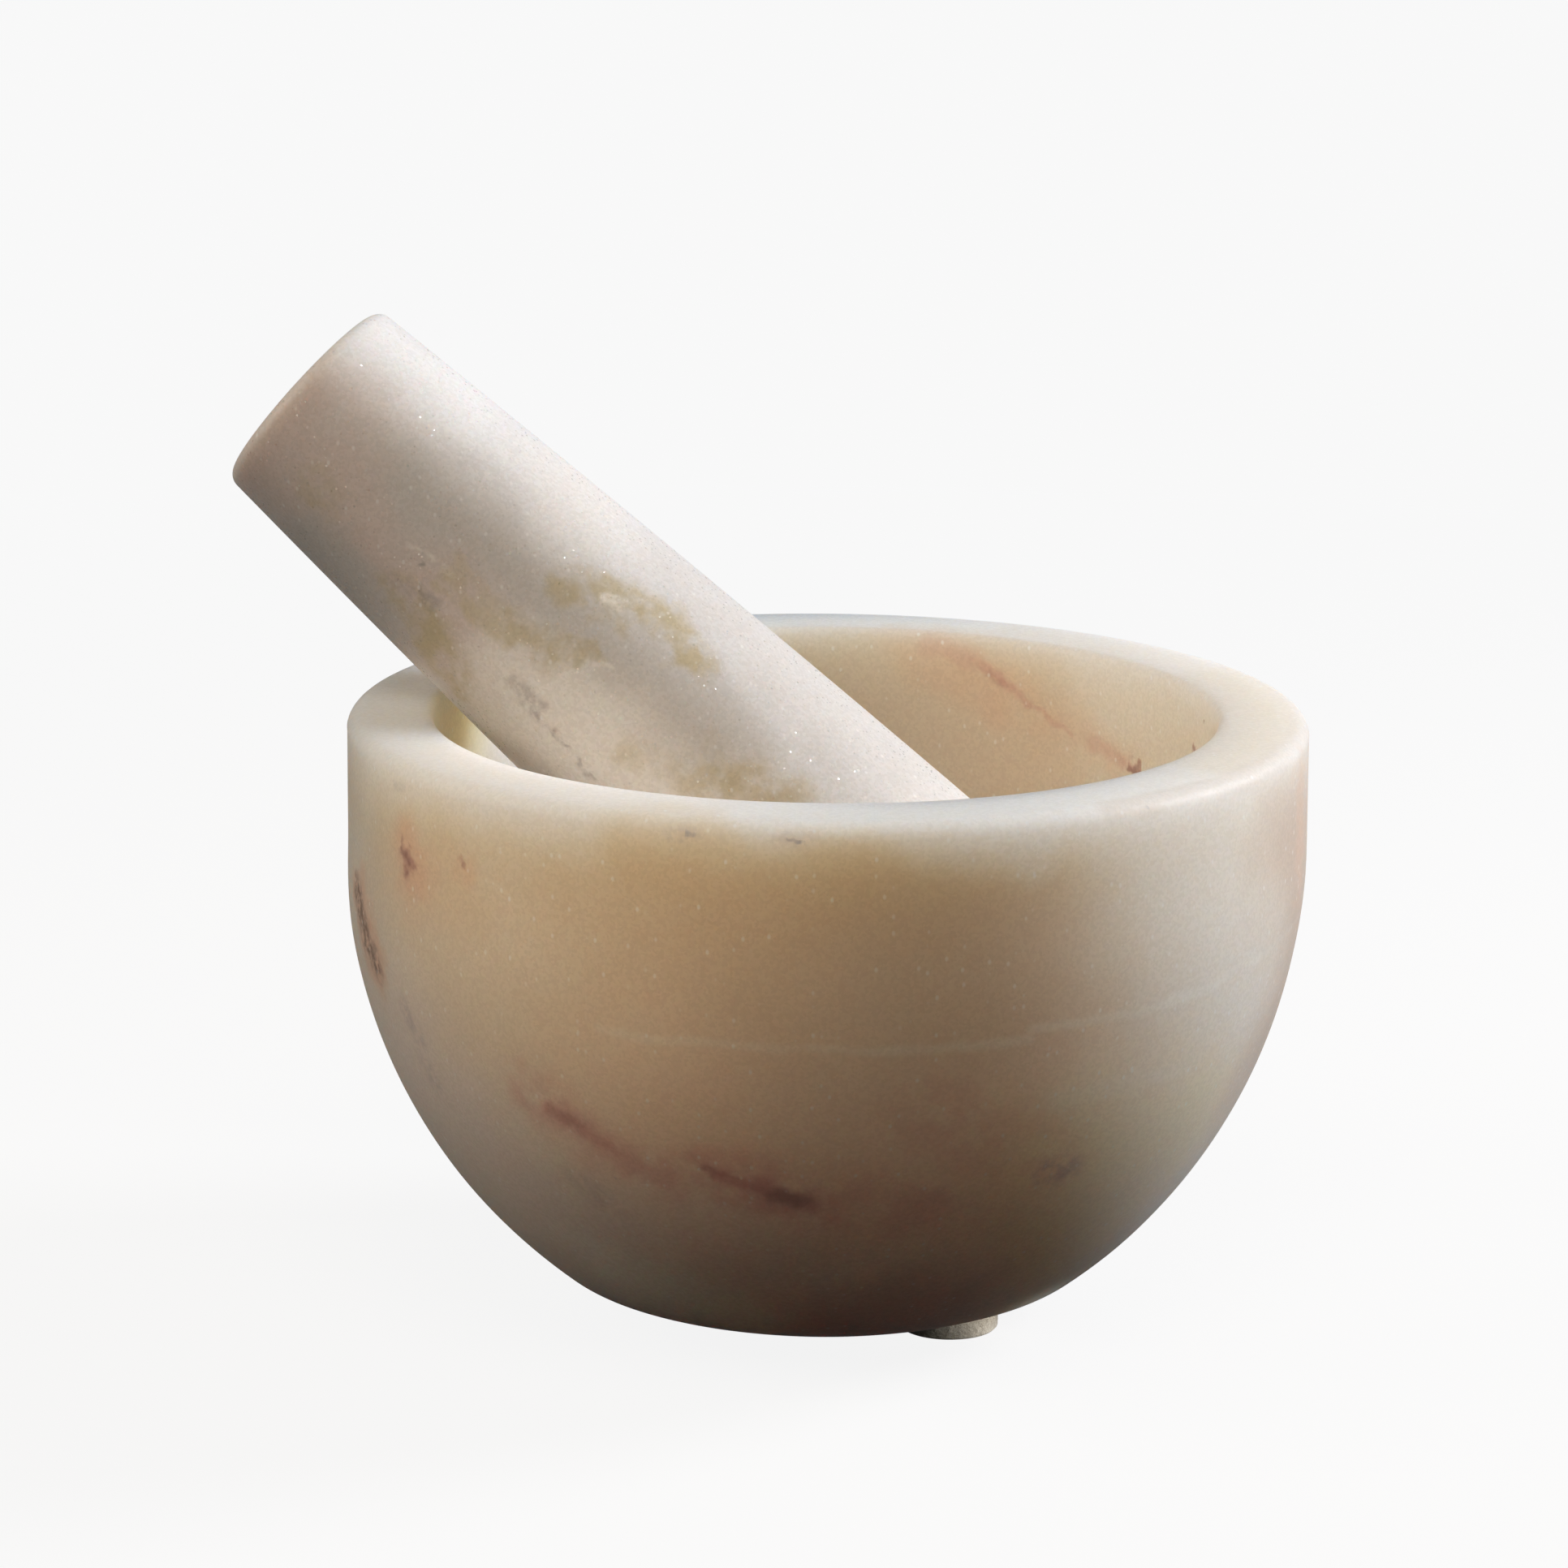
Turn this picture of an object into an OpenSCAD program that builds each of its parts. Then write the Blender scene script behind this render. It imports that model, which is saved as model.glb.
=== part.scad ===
// Stone mortar and pestle: a lathe-turned bowl with a straight rim band and a rounded belly, a
// heavy tapered pestle that leans in it, and three soft pads glued under the bowl.
// Millimetres. +Z is up, the bowl's axis is the Z axis, and the pads stand on the plane z = 0.

/* [Mortar] */
// Outer diameter of the bowl at its rim band
bowl_d = 152; // [136:1:176]
// Height of the stone, from its ground base to the rim
bowl_h = 94.4; // [84:0.2:112]
// Thickness of the wall at the rim
wall_t = 14; // [11:0.5:18]
// Thickness of the stone under the hollow
floor_t = 16.4; // [10:0.2:24]
// Height of the straight band below the rim
band_h = 21.9; // [14:0.1:30]
// Radius of the belly, as a share of the height that it covers
belly_ratio = 1.174; // [1.1:0.002:1.3]
// Radius of the turn from the belly to the underside
shoulder_r = 15.6; // [8:0.1:22]
// Radius of the shallow curve of the underside
under_r = 122.7; // [100:0.1:160]
// Diameter of the flat that is ground on the base
base_d = 55.6; // [46:0.2:62]
// Rounding of the rim's outer edge
rim_outer_r = 2.4; // [1:0.1:4]
// Rounding of the rim's inner edge
rim_inner_r = 1; // [0.5:0.1:3]

/* [Pestle] */
// Length over all, from the grinding end to the handle end
pestle_l = 168.2; // [140:0.1:200]
// Diameter of the ball-shaped grinding end
head_d = 48; // [42:0.5:54]
// Diameter of the handle end
handle_d = 35.8; // [30:0.2:42]
// Radius of the long curve that swells the taper a little
flank_r = 4100; // [2500:50:6000]
// Radius of the domed handle end
cap_r = 120; // [60:1:200]
// Rounding of the edge at the handle end
cap_edge_r = 3.5; // [1:0.1:5]
// Slope of the resting pestle above the horizontal, in degrees
lean = 40; // [35:0.5:47]
// Heading of the lean, in degrees from -X towards the back
lean_heading = 12.8; // [-30:0.2:40]
// Clearance where the pestle lies on the rim and in the hollow
seat_gap = 0.25; // [0.1:0.05:0.5]

/* [Pads] */
// Heading of the front pad, in degrees from +X towards the back
front_pad_heading = -40; // [-60:1:-20]
// Heading of the rear pad
rear_pad_heading = 80; // [60:1:100]
// Heading of the left pad
left_pad_heading = 185; // [165:1:205]
// Diameter of a pad
pad_d = 15.8; // [12:0.2:18]
// Thickness of a pad pressed under the flat base
pad_t = 1.9; // [1.2:0.1:3]
// Thickness of a pad where nothing presses it
pad_free_t = 3; // [3:0.1:4]
// How far the pads' centres lie inside the edge of the flat base
pad_inset = 1.2; // [0:0.1:6]
// Thickness of the glue between a pad and the stone
glue_t = 0.1; // [0.05:0.05:0.3]

/* [Hidden] */
fine = 180;         // facets of a full turn about an axis
flank_steps = 16;   // bands of the pestle's flank
spill = 1;          // how far a cutter runs past the stone

marble = [0.80, 0.72, 0.60];
pale_marble = [0.84, 0.80, 0.72];
felt = [0.78, 0.74, 0.68];

// Where two circles about a and b cross, on the left of the way from a to b (side = 1) or its right.
function meet(a, ra, b, rb, side) =
    let (ab = b - a, d = norm(ab), along = (ra * ra - rb * rb + d * d) / (2 * d),
         off = sqrt(ra * ra - along * along), e = ab / d)
    a + along * e + side * off * [-e[1], e[0]];
function heading(v) = atan2(v[1], v[0]);
function facets(r) = max(48, ceil(3 * r));

// The bowl's outline: band, belly, shoulder and underside run into each other without a corner.
bowl_r = bowl_d / 2;
base_r = base_d / 2;
rim_z = pad_t + bowl_h;
band_z = rim_z - band_h;
belly_r = belly_ratio * (bowl_h - band_h);
belly_c = [bowl_r - belly_r, band_z];
under_c = [0, pad_t + sqrt(under_r * under_r - base_r * base_r)];
shoulder_c = meet(under_c, under_r - shoulder_r, belly_c, belly_r - shoulder_r, 1);

// The hollow: a straight wall that ends in a half ball.
mouth_r = bowl_r - wall_t;
hollow_c = [0, pad_t + floor_t + mouth_r];

// The pestle's outline, as [radius, height] from the centre of its grinding end: a ball, a long
// swelling flank and a domed end, each tangent to the next.
head_r = head_d / 2;
top_s = pestle_l - head_r;
flank_c = meet([0, 0], flank_r - head_r, [handle_d / 2, top_s], flank_r, 1);
cap_c = [0, top_s - cap_r];
edge_c = meet(cap_c, cap_r - cap_edge_r, flank_c, flank_r - cap_edge_r, -1);

// The seat: the grinding end lies in the half ball while the flank lies on the rim's inner edge.
rise = [-cos(lean), sin(lean)];             // from the grinding end to the handle end
over = [sin(lean), cos(lean)];              // square to it, away from the rim
rim_c = [-mouth_r - rim_inner_r, rim_z - rim_inner_r];
far_c = flank_c[1] * rise - flank_c[0] * over;
head_c = meet(rim_c - far_c, flank_r + rim_inner_r + seat_gap,
              hollow_c, mouth_r - head_r - seat_gap, -1);

pad_ring_r = base_r - pad_inset;

module disc(c, r) {
    translate(c) circle(r = r, $fn = facets(r));
}

// A pie slice of a disc, from the heading a0 round to a1 (less than half a turn).
module slice(c, r, a0, a1) {
    am = (a0 + a1) / 2;
    reach = 2 * r / cos((a1 - a0) / 4);
    intersection() {
        disc(c, r);
        polygon([c, for (a = [a0, am, a1]) c + reach * [cos(a), sin(a)]]);
    }
}

// Takes the square corner off at p and leaves a round of radius r; quarter says which corner.
module round_off(p, r, quarter) {
    translate(p) rotate(90 * quarter) translate([-r, -r]) difference() {
        square(r + spill);
        disc([0, 0], r);
    }
}

module bowl_outline() {
    turn_in = heading(shoulder_c - belly_c);
    turn_out = heading(shoulder_c - under_c);
    intersection() {
        translate([0, pad_t]) square([bowl_r, bowl_h]);
        union() {
            translate([0, band_z]) square([bowl_r, band_h]);
            slice(belly_c, belly_r, turn_in, 0);
            disc(shoulder_c, shoulder_r);
            slice(under_c, under_r, -90, turn_out);
        }
    }
}

module hollow_outline() {
    translate([0, hollow_c[1]]) square([mouth_r, rim_z - hollow_c[1] + spill]);
    disc(hollow_c, mouth_r);
}

module bowl_body() {
    rotate_extrude($fn = fine) bowl_outline();
}

module mortar() {
    color(marble) rotate_extrude($fn = fine) difference() {
        bowl_outline();
        hollow_outline();
        round_off([bowl_r, rim_z], rim_outer_r, 0);
        round_off([mouth_r, rim_z], rim_inner_r, 1);
    }
}

module pestle_outline() {
    foot = heading(-flank_c);
    top = heading(edge_c - flank_c);
    flank = [for (i = [0 : flank_steps]) let (a = foot + (top - foot) * i / flank_steps)
             flank_c + flank_r * [cos(a), sin(a)]];
    intersection() {
        translate([0, -head_r]) square([head_r + spill, pestle_l]);
        union() {
            disc([0, 0], head_r);
            polygon([[0, flank[0][1]], each flank, [0, flank[flank_steps][1]]]);
            disc(edge_c, cap_edge_r);
            slice(cap_c, cap_r, heading(edge_c - cap_c), 90);
        }
    }
}

module pestle() {
    color(pale_marble) rotate([0, 0, -lean_heading]) translate([head_c[0], 0, head_c[1]])
        rotate([0, lean - 90, 0]) rotate_extrude($fn = fine) pestle_outline();
}

// A disc of felt whose top takes the shape of the stone that presses on it.
module pad(pad_heading) {
    color(felt) difference() {
        rotate([0, 0, pad_heading]) translate([pad_ring_r, 0, 0])
            cylinder(d = pad_d, h = pad_free_t, $fn = fine);
        translate([0, 0, -glue_t]) bowl_body();
    }
}

mortar();
pestle();
pad(front_pad_heading);  // front_pad
pad(rear_pad_heading);  // rear_pad
pad(left_pad_heading);  // left_pad
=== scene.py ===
import math

import bpy
from mathutils import Matrix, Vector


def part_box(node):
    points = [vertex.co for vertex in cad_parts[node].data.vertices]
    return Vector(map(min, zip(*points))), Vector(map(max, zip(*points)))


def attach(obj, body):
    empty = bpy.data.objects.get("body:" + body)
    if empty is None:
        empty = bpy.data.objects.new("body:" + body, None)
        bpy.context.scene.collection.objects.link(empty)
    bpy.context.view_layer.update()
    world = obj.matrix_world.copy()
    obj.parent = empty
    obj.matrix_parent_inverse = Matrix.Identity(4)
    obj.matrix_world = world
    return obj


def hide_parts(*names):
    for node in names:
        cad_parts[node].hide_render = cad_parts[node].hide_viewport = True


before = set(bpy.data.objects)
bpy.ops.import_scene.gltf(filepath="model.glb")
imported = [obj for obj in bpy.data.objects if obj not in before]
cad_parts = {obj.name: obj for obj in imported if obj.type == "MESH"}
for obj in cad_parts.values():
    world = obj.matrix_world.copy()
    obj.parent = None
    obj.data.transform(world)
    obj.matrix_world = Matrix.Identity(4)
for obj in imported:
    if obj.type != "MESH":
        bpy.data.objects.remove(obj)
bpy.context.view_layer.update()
scene = bpy.context.scene

# --- Mortar ---------------------------------------------------------------------------------
# The bowl is one block of translucent marble, turned on a lathe and honed by hand: a straight
# band under a flat rim, a round belly, a shallow underside with a flat ground on it, and a hollow
# that ends in half a ball. Everything is in metres, and the heights come from the frame.
bowl_low, bowl_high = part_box("mortar")
BASE_Z, RIM_Z = bowl_low[2], bowl_high[2]
BOWL_R = 0.076
MOUTH_R = 0.062
BAND_H = 0.0219
BELLY_R = 0.0851
SHOULDER_R = 0.0156
UNDER_R = 0.1227
BASE_R = 0.0278
FLOOR_T = 0.0164
RIM_OUTER_R = 0.0026
RIM_INNER_R = 0.0011
BOWL_SIDES = 288
SEAM_GAP = 0.00001


def crossing(a, ra, b, rb):
    """Where two circles about a and b, in the XZ plane, cross to the left of the way from a to b."""
    dx, dz = b[0] - a[0], b[1] - a[1]
    d = math.hypot(dx, dz)
    along = (ra * ra - rb * rb + d * d) / (2 * d)
    off = math.sqrt(ra * ra - along * along)
    return a[0] + (along * dx - off * dz) / d, a[1] + (along * dz + off * dx) / d


def heading(centre, point):
    """The angle at which point stands from centre, from +X towards +Z."""
    return math.atan2(point[1] - centre[1], point[0] - centre[0])


def start_outline(name, x, z):
    """A new object in edit mode that holds one selected vertex of a half outline."""
    bpy.ops.object.select_all(action="DESELECT")
    bpy.ops.mesh.primitive_plane_add(size=0.001, location=(0, 0, 0))
    bpy.context.object.name = name
    bpy.ops.object.mode_set(mode="EDIT")
    bpy.ops.mesh.merge(type="CENTER")
    bpy.ops.transform.translate(value=(x, 0, z))


def run_straight(dx, dz, steps):
    """Draws the outline on from its last vertex, straight."""
    for _ in range(steps):
        bpy.ops.mesh.extrude_region_move(TRANSFORM_OT_translate={"value": (dx / steps, 0, dz / steps)})


def run_round(centre, angle, steps):
    """Draws the outline on, round centre; a positive angle goes from +X towards +Z."""
    bpy.ops.mesh.spin(steps=steps, angle=angle, center=(centre[0], 0, centre[1]), axis=(0, 1, 0))


def turn_outline(steps):
    """Turns the whole half outline about Z and closes it."""
    bpy.ops.mesh.select_all(action="SELECT")
    bpy.ops.mesh.spin(steps=steps, angle=2 * math.pi, center=(0, 0, 0), axis=(0, 0, 1))
    bpy.ops.mesh.select_all(action="SELECT")
    bpy.ops.mesh.remove_doubles(threshold=SEAM_GAP)
    bpy.ops.mesh.normals_make_consistent(inside=False)
    bpy.ops.object.mode_set(mode="OBJECT")
    bpy.ops.object.shade_smooth()


band_z = RIM_Z - BAND_H
belly_c = (BOWL_R - BELLY_R, band_z)
under_c = (0, BASE_Z + math.sqrt(UNDER_R**2 - BASE_R**2))
shoulder_c = crossing(under_c, UNDER_R - SHOULDER_R, belly_c, BELLY_R - SHOULDER_R)
base_edge = heading(under_c, (BASE_R, BASE_Z))
turn_out = heading(under_c, shoulder_c)
turn_in = heading(belly_c, shoulder_c)
hollow_z = BASE_Z + FLOOR_T + MOUTH_R

start_outline("marble_bowl", 0, BASE_Z)
run_straight(BASE_R, 0, steps=14)
run_round(under_c, turn_out - base_edge, steps=6)
run_round(shoulder_c, turn_in - turn_out, steps=10)
run_round(belly_c, -turn_in, steps=40)
run_straight(0, BAND_H - RIM_OUTER_R, steps=10)
run_round((BOWL_R - RIM_OUTER_R, RIM_Z - RIM_OUTER_R), math.pi / 2, steps=8)
run_straight(MOUTH_R + RIM_INNER_R - BOWL_R + RIM_OUTER_R, 0, steps=6)
run_round((MOUTH_R + RIM_INNER_R, RIM_Z - RIM_INNER_R), math.pi / 2, steps=6)
run_straight(0, hollow_z - RIM_Z + RIM_INNER_R, steps=8)
run_round((0, hollow_z), -math.pi / 2, steps=40)
turn_outline(BOWL_SIDES)
bowl = bpy.context.object


def pick(piece, name, wanted):
    """Selects the vertices for which wanted(place) is true and keeps them as a named group."""
    bpy.ops.mesh.select_all(action="DESELECT")
    bpy.ops.object.mode_set(mode="OBJECT")
    for v in piece.data.vertices:
        v.select = bool(wanted(v.co))
    bpy.ops.object.mode_set(mode="EDIT")
    bpy.ops.object.vertex_group_assign_new()
    piece.vertex_groups[-1].name = name


# Honed by hand: the upper band was ground a little off the axis, and the outside waves a little.
# The hollow and the ground flat stay true.
BAND_SHIFT = 0.0004
BAND_FADE = 0.02
BAND_EDGE = 0.002
HONED_WAVE = 0.0004
WAVE_SIZE = 0.045
BASE_KEEP = 1.02
HOLLOW_NEAR = MOUTH_R + 0.004
HOLLOW_LOW = BASE_Z + 0.01


def outside(co):
    """True on the bowl's outer side, away from its rim and its ground flat."""
    r = math.hypot(co.x, co.y)
    return (r > BASE_R * BASE_KEEP and co.z < RIM_Z - RIM_OUTER_R
            and math.hypot(r, co.z - hollow_z) > HOLLOW_NEAR)


bpy.ops.object.mode_set(mode="EDIT")
pick(bowl, "hollow", lambda co: math.hypot(co.x, co.y) < HOLLOW_NEAR and co.z > HOLLOW_LOW)
bpy.ops.mesh.hide()
pick(bowl, "band", lambda co: co.z > band_z + BAND_EDGE)
bpy.ops.transform.translate(value=(BAND_SHIFT, 0, 0), use_proportional_edit=True,
                            use_proportional_connected=True, proportional_edit_falloff="SMOOTH",
                            proportional_size=BAND_FADE)
bpy.ops.mesh.reveal(select=False)
pick(bowl, "outside", outside)
bpy.ops.object.mode_set(mode="OBJECT")
waves = bpy.data.textures.new("honed_waves", "CLOUDS")
waves.noise_scale = WAVE_SIZE
wave = bowl.modifiers.new("honed_waves", "DISPLACE")
wave.texture, wave.strength, wave.vertex_group = waves, HONED_WAVE, "outside"
bpy.ops.object.modifier_apply(modifier=wave.name)


def at(heading_deg, height, radius):
    """A point by its heading about the bowl's axis, its height and its radius, in mm."""
    a = math.radians(heading_deg)
    return radius * math.cos(a) / 1000, radius * math.sin(a) / 1000, height / 1000


def feed(tree, sockets):
    """Gives each socket its value or its link; None leaves one alone."""
    for socket, value in sockets:
        if isinstance(value, bpy.types.NodeSocket):
            tree.links.new(value, socket)
        elif value is not None:
            socket.default_value = value


def feed_by_name(tree, node, **named):
    """Feeds a node's sockets by name, with _ for each space."""
    feed(tree, [(node.inputs[name.replace("_", " ")], value) for name, value in named.items()])


def put(tree, kind, *inputs, **settings):
    """Adds a node, sets its properties, and feeds its first sockets and those that are named."""
    made = tree.nodes.new("ShaderNode" + kind)
    own = [name for name in settings if name in made.bl_rna.properties]
    for name in own:
        setattr(made, name, settings.pop(name))
    feed(tree, zip(made.inputs, inputs))
    feed_by_name(tree, made, **settings)
    return made


def maths(tree, operation, *inputs):
    """One step of arithmetic."""
    return put(tree, "Math", *inputs, operation=operation).outputs[0]


def vectors(tree, operation, *inputs, **settings):
    """One step of arithmetic on points or directions."""
    made = put(tree, "VectorMath", *inputs, operation=operation, **settings)
    return made.outputs["Value" if operation in ("DOT_PRODUCT", "DISTANCE", "LENGTH") else "Vector"]


# Where a Mix node keeps its colours, and the middle of what a cloud or a grain gives.
MIX_FIRST, MIX_SECOND, MIX_RESULT = 6, 7, 2
MIDDLE = (0.5, 0.5, 0.5)


def blend(tree, amount, first, second, kind="MIX"):
    """Mixes two colours; each is three numbers or a link."""
    made = put(tree, "Mix", data_type="RGBA", blend_type=kind)
    feed(tree, [(made.inputs["Factor"], amount)])
    for slot, colour in ((MIX_FIRST, first), (MIX_SECOND, second)):
        linked = isinstance(colour, bpy.types.NodeSocket)
        feed(tree, [(made.inputs[slot], colour if linked else (*colour, 1))])
    return made.outputs[MIX_RESULT]


def step_between(tree, value, low, high):
    """0 below low and 1 above high, with a smooth rise between them."""
    return put(tree, "MapRange", value, interpolation_type="SMOOTHSTEP", From_Min=low,
               From_Max=high).outputs["Result"]


def cloud(tree, place, size, detail=2.0, roughness=0.5, output=0):
    """Noise whose blobs are about size metres across."""
    made = put(tree, "TexNoise", place, Scale=1 / size, Detail=detail, Roughness=roughness)
    return made.outputs[output]


def wobble(tree, place, size, reach):
    """The place, pushed about by mostly less than half of reach, so that edges run unevenly."""
    push = vectors(tree, "SUBTRACT", cloud(tree, place, size, output=1), MIDDLE)
    return vectors(tree, "ADD", place, vectors(tree, "SCALE", push, Scale=reach * 2))


def streak_tool():
    """A soft streak between two points in the stone: 1 in its middle and 0 from its reach outwards."""
    tool = bpy.data.node_groups.new("streak", "ShaderNodeTree")
    for name in ("Place", "From", "To"):
        tool.interface.new_socket(name, in_out="INPUT", socket_type="NodeSocketVector")
    for name in ("Reach", "Core", "Strength"):
        tool.interface.new_socket(name, in_out="INPUT", socket_type="NodeSocketFloat")
    tool.interface.new_socket("Amount", in_out="OUTPUT", socket_type="NodeSocketFloat")
    given = tool.nodes.new("NodeGroupInput").outputs
    result = tool.nodes.new("NodeGroupOutput").inputs
    way = vectors(tool, "SUBTRACT", given["To"], given["From"])
    out = vectors(tool, "SUBTRACT", given["Place"], given["From"])
    length = vectors(tool, "DOT_PRODUCT", way, way)
    share = maths(tool, "DIVIDE", vectors(tool, "DOT_PRODUCT", out, way), length)
    share = maths(tool, "MAXIMUM", maths(tool, "MINIMUM", share, 1.0), 0.0)
    gap = vectors(tool, "DISTANCE", out, vectors(tool, "SCALE", way, Scale=share))
    rise = step_between(tool, gap, given["Reach"], given["Core"])
    tool.links.new(maths(tool, "MULTIPLY", rise, given["Strength"]), result["Amount"])
    return tool


streak = streak_tool()


def streaks(tree, place, marks):
    """The strongest of several streaks; a mark is (from, to, reach in mm, core in mm, strength)."""
    total = None
    for start, end, reach, core, strength in marks:
        mark = put(tree, "Group", node_tree=streak)
        feed_by_name(tree, mark, Place=place, From=start, To=end, Reach=reach / 1000,
                     Core=core / 1000, Strength=strength)
        total = mark.outputs[0] if total is None else maths(tree, "MAXIMUM", total, mark.outputs[0])
    return total


# The marble's crystals: each is paler or darker, and a few are turned so that they flash. FLASHING
# and FLECKED say which cells are meant, by a number drawn for each, and an EDGE where they end.
STONE_IOR = 1.5
CRYSTAL = 0.00045
CRYSTAL_DARK = (0.79, 0.785, 0.765)
CRYSTAL_PALE = (1.0, 1.0, 1.0)
FLASHING = (0.90, 0.93)
FLASH_EDGE = (0.50, 0.35)
FLASH_GLOSS = 0.28
FACET_TURN = 0.8

# Its pale flecks, a little taller than they are wide.
FLECK = 0.0013
FLECK_SHARE = 0.7
FLECK_STRENGTH = 0.45
FLECKED = (0.76, 0.82)
FLECK_EDGE = (0.30, 0.10)
SPARK = (0.98, 0.97, 0.95)

# Its surface: fine upright tool marks, the crystals' own relief, and smoother and duller patches.
TOOL_MARK = 0.0007
TOOL_MARK_LENGTH = 0.006
TOOL_MARK_RISE = 0.6
CRYSTAL_RISE = 0.25
MARK_DEPTH = 0.00006
MARK_STRENGTH = 0.5
ROUGH_PATCH = 0.004
ROUGH_SPREAD = 0.08


def grains(tree, place, size):
    """Cells about size metres across: three numbers drawn for each, and the way to its middle."""
    cells = put(tree, "TexVoronoi", place, Scale=1 / size).outputs
    return cells["Color"], cells["Distance"]


def stone(name, base, layers, glow, glow_depth, gloss, rough, grain, sparkle):
    """A translucent marble: a base colour, then layers of (colour, amount maker), then its crystals.

    glow is how far each colour of light spreads inside, glow_depth scales it in metres, gloss and
    rough are its shine, grain is how much the crystals show and sparkle how much they flash."""
    made = bpy.data.materials.new(name)
    made.use_nodes = True
    tree = made.node_tree
    place = tree.nodes.new("ShaderNodeTexCoord").outputs["Object"]
    colour = base(tree, place)
    for tint, amount in layers:
        colour = blend(tree, amount(tree, place), colour, tint)

    drawn, middle = grains(tree, place, CRYSTAL)
    pale, chance, _ = put(tree, "SeparateColor", drawn).outputs
    facet = step_between(tree, pale, 0.0, 1.0)
    colour = blend(tree, grain, colour, blend(tree, facet, CRYSTAL_DARK, CRYSTAL_PALE), "MULTIPLY")
    flash = maths(tree, "MULTIPLY", step_between(tree, chance, *FLASHING),
                  step_between(tree, middle, *FLASH_EDGE))
    flash = maths(tree, "MULTIPLY", flash, sparkle)
    turned = vectors(tree, "SCALE", vectors(tree, "SUBTRACT", drawn, MIDDLE),
                     Scale=maths(tree, "MULTIPLY", flash, FACET_TURN))

    stretched = put(tree, "Mapping", place, Scale=(1, 1, FLECK_SHARE)).outputs[0]
    drawn, middle = grains(tree, stretched, FLECK)
    chance = put(tree, "SeparateColor", drawn).outputs[0]
    fleck = maths(tree, "MULTIPLY", step_between(tree, chance, *FLECKED),
                  step_between(tree, middle, *FLECK_EDGE))
    colour = blend(tree, maths(tree, "MULTIPLY", fleck, FLECK_STRENGTH), colour, SPARK)

    patchy = put(tree, "MapRange", cloud(tree, place, ROUGH_PATCH, detail=3.0),
                 To_Min=rough - ROUGH_SPREAD, To_Max=rough + ROUGH_SPREAD).outputs["Result"]
    tall = put(tree, "Mapping", place, Scale=(1, 1, TOOL_MARK / TOOL_MARK_LENGTH)).outputs[0]
    height = maths(tree, "ADD", maths(tree, "MULTIPLY", cloud(tree, tall, TOOL_MARK), TOOL_MARK_RISE),
                   maths(tree, "MULTIPLY", facet, CRYSTAL_RISE))
    bump = put(tree, "Bump", Strength=MARK_STRENGTH, Distance=MARK_DEPTH, Height=height).outputs[0]
    feed_by_name(tree, tree.nodes["Principled BSDF"], Base_Color=colour,
                 Roughness=maths(tree, "ADD", patchy, maths(tree, "MULTIPLY", flash, -FLASH_GLOSS)),
                 Normal=vectors(tree, "NORMALIZE", vectors(tree, "ADD", bump, turned)),
                 IOR=STONE_IOR, Specular_IOR_Level=gloss, Subsurface_Weight=1.0,
                 Subsurface_Scale=glow_depth, Subsurface_Radius=glow)
    return made


CREAM = (0.84, 0.775, 0.69)
BEIGE = (0.80, 0.72, 0.62)
TAN = (0.78, 0.665, 0.53)
PEACH = (0.95, 0.755, 0.63)
PINK_GREY = (0.89, 0.79, 0.745)
COOL_WHITE = (0.89, 0.83, 0.76)
# Partly the stone's warm tone, partly painted light from low at the right.
HONEY_AND_PAINTED_LIGHT = (1.0, 0.83, 0.65)
DULL_BEIGE = (0.62, 0.52, 0.43)
FOOT_BROWN = (0.75, 0.55, 0.40)
# Painted light, for the underside at the lower left.
PAINTED_LIGHT_PALE = (0.98, 0.90, 0.84)
RIM_WHITE = (0.94, 0.87, 0.81)
# Painted light, for the rim's top and for a lit strip in the hollow.
PAINTED_LIGHT_WHITE = (0.99, 0.92, 0.86)
HOLLOW_TAN = (0.79, 0.69, 0.57)
# Painted shade, warm yellow, for the hollow's wall in the pestle's shadow.
PAINTED_SHADE_YELLOW = (0.92, 0.80, 0.54)
RUST_HALO = (0.80, 0.58, 0.45)
RUST = (0.42, 0.26, 0.21)
ROSE = (0.62, 0.38, 0.34)
# Painted shade, which damps the key lamp's light on the rim's edge and the band's right side.
PAINTED_SHADE_EDGE = (0.74, 0.67, 0.61)
PIT_BROWN = (0.32, 0.22, 0.17)
SLATE = (0.44, 0.44, 0.47)
CHALK = (0.96, 0.92, 0.85)

# From where to where a value rises: in broken patches, up the rim, and in the base's clouds.
PATCHY = (0.30, 0.62)
RIM_RISE = (0.0855, 0.0975)
DRIFT = (0.40, 0.64)


def zone(marks, size, reach, patch=None):
    """An amount maker: streaks whose edges run unevenly, broken up into patches if wanted."""
    def amount(tree, place):
        found = streaks(tree, wobble(tree, place, size, reach), marks)
        if patch:
            parts = cloud(tree, place, patch, detail=3.0, roughness=0.6)
            found = maths(tree, "MULTIPLY", found, step_between(tree, parts, *PATCHY))
        return found
    return amount


def rim_amount(tree, place):
    """An amount maker: 1 on the rim, fading out down the band, and 0 in the hollow."""
    flat = vectors(tree, "MULTIPLY", place, (1, 1, 0))
    out = step_between(tree, vectors(tree, "LENGTH", flat), MOUTH_R, MOUTH_R + RIM_INNER_R * 2)
    up = put(tree, "SeparateXYZ", wobble(tree, place, size=0.02, reach=0.006)).outputs["Z"]
    return maths(tree, "MULTIPLY", step_between(tree, up, *RIM_RISE), out)


def bowl_base(tree, place):
    """Cream clouds in beige."""
    drift = cloud(tree, wobble(tree, place, size=0.03, reach=0.014), size=0.05, detail=3.0)
    return blend(tree, step_between(tree, drift, *DRIFT), BEIGE, CREAM)


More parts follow.
